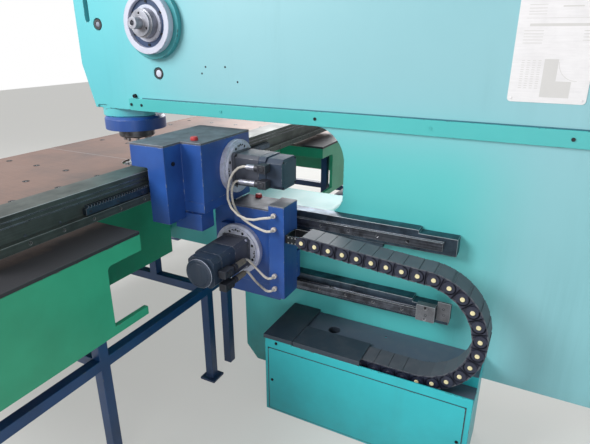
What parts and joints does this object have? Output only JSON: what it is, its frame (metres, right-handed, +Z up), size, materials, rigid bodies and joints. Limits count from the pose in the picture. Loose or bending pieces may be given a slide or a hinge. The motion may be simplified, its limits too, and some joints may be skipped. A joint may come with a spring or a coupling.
{
  "type": "cnc turret punch press",
  "caption": "C-frame turret punch press with sheet table, geared motor carriage on side rails, clamp beam, cable chain and cable cabinet.",
  "frame": {"origin": "on the floor, under the middle of the press: on the C frame's centre plane, midway between the table's front edge and the C frame's rear end", "axes": "+Z up, +Y along the C frame towards its rear, +X across the press towards the side with the rails, the motors and the cable cabinet"},
  "size_m": [2.9, 3.52, 2.1],
  "materials": {
    "turquoise_enamel": "sprayed machine enamel, satin",
    "green_enamel": "sprayed machine enamel, satin",
    "blue_enamel": "sprayed machine enamel, satin",
    "dark_blue_enamel": "enamel",
    "white_enamel": "enamel, gloss",
    "worn_table_steel": "rolled plate, lightly worn and oxidised",
    "dark_steel": "blackened steel, oily",
    "ground_steel": "ground and polished steel",
    "motor_grey": "motor enamel, matt",
    "flange_grey": "cast and turned aluminium",
    "plate_metal": "anodised plate, bare",
    "red_plastic": "moulded cap",
    "chain_plastic": "moulded glass-filled nylon",
    "pin_plastic": "moulded pin",
    "cable_grey": "grey cable sheath",
    "black_cover": "black sheet steel"
  },
  "bodies": {
    "frame": {"c_frame": "turquoise_enamel", "side_strip": "turquoise_enamel", "cover_screws": "dark_steel", "frame_plugs": "white_enamel", "data_plate": "plate_metal", "hub_housing": "turquoise_enamel", "hub_rings": "white_enamel", "hub_cover": "dark_blue_enamel", "ram_guide": "ground_steel", "turret_hood": "blue_enamel", "turret_post": "dark_steel", "turret_base": "green_enamel", "table_tops": "worn_table_steel", "near_apron": "green_enamel", "far_apron": "green_enamel", "near_floor_frame": "blue_enamel", "far_floor_frame": "blue_enamel", "y_rail_bars": "dark_steel", "y_guide_rails": "ground_steel", "y_rack": "dark_steel", "rail_stops": "flange_grey", "cabinet_body": "turquoise_enamel", "cabinet_panel": "turquoise_enamel", "cabinet_cover": "black_cover", "cable_tray": "black_cover", "chain_end_bracket": "ground_steel", "chain_lower": "chain_plastic"},
    "crank": {"crank_shaft": "dark_steel"},
    "ram": {"ram": "ground_steel"},
    "upper_turret": {"upper_turret": "dark_steel", "punch_holders": "ground_steel"},
    "lower_turret": {"lower_turret": "dark_steel", "die_holders": "ground_steel"},
    "carriage": {"carriage_plate": "blue_enamel", "rail_blocks": "ground_steel", "y_gearbox": "blue_enamel", "gearbox_lids": "dark_steel", "gearbox_caps": "red_plastic", "motor_flanges": "flange_grey", "x_motor": "motor_grey", "y_motor": "motor_grey", "motor_connectors": "motor_grey", "cable_bracket": "blue_enamel", "cable_glands": "flange_grey", "x_saddle": "blue_enamel", "x_gearbox": "blue_enamel", "x_guide_blocks": "ground_steel", "chain_clip": "ground_steel", "x_motor_cables": "cable_grey", "y_motor_cables": "cable_grey", "chain_upper": "chain_plastic"},
    "y_pinion": {"y_pinion": "ground_steel"},
    "x_pinion": {"x_pinion": "ground_steel"},
    "beam": {"x_beam": "dark_steel", "x_rail": "ground_steel", "x_rack": "dark_steel", "clamp_bodies": "dark_steel"},
    "clamp_jaws": {"clamp_jaws": "ground_steel"},
    "chain_bend": {"chain_bend": "chain_plastic", "bend_pins": "pin_plastic"}
  },
  "joints": [
    {"name": "crank_spin", "type": "hinge", "parent": "frame", "child": "crank", "pos_m": [0.15, -0.74, 1.6], "axis": [1, 0, 0], "continuous": true},
    {"name": "ram_stroke", "type": "slide", "parent": "frame", "child": "ram", "axis": [0, 0, -1], "range_m": [0, 0.03]},
    {"name": "turret_spin", "type": "hinge", "parent": "frame", "child": "upper_turret", "pos_m": [0, -1.04, 1.09], "axis": [0, 0, 1], "continuous": true},
    {"name": "lower_turret_spin", "type": "hinge", "parent": "frame", "child": "lower_turret", "pos_m": [0, -1.04, 0.88], "axis": [0, 0, 1], "continuous": true},
    {"name": "y_slide", "type": "slide", "parent": "frame", "child": "carriage", "axis": [0, 1, 0], "range_m": [-0.05, 0.5], "deforming": ["chain_upper", "chain_lower"]},
    {"name": "x_slide", "type": "slide", "parent": "carriage", "child": "beam", "axis": [1, 0, 0], "range_m": [-0.55, 0.55]},
    {"name": "y_pinion_spin", "type": "hinge", "parent": "carriage", "child": "y_pinion", "pos_m": [0.14, -0.215, 0.7], "axis": [1, 0, 0], "range_deg": [-60, 597]},
    {"name": "x_pinion_spin", "type": "hinge", "parent": "carriage", "child": "x_pinion", "pos_m": [0.26, -0.45, 1.045], "axis": [0, 1, 0], "range_deg": [-1051, 1051]},
    {"name": "clamp_open", "type": "hinge", "parent": "beam", "child": "clamp_jaws", "pos_m": [0, -0.59, 0.982], "axis": [-1, 0, 0], "range_deg": [0, 8]},
    {"name": "chain_roll", "type": "slide", "parent": "frame", "child": "chain_bend", "axis": [0, 1, 0], "range_m": [-0.025, 0.25]}
  ],
  "couplings": [
    {"joint": "lower_turret_spin", "follows": "turret_spin", "ratio": 1},
    {"joint": "y_pinion_spin", "follows": "y_slide", "rad_per_m": 20.833},
    {"joint": "x_pinion_spin", "follows": "x_slide", "rad_per_m": -33.333},
    {"joint": "chain_roll", "follows": "y_slide", "ratio": 0.5}
  ]
}
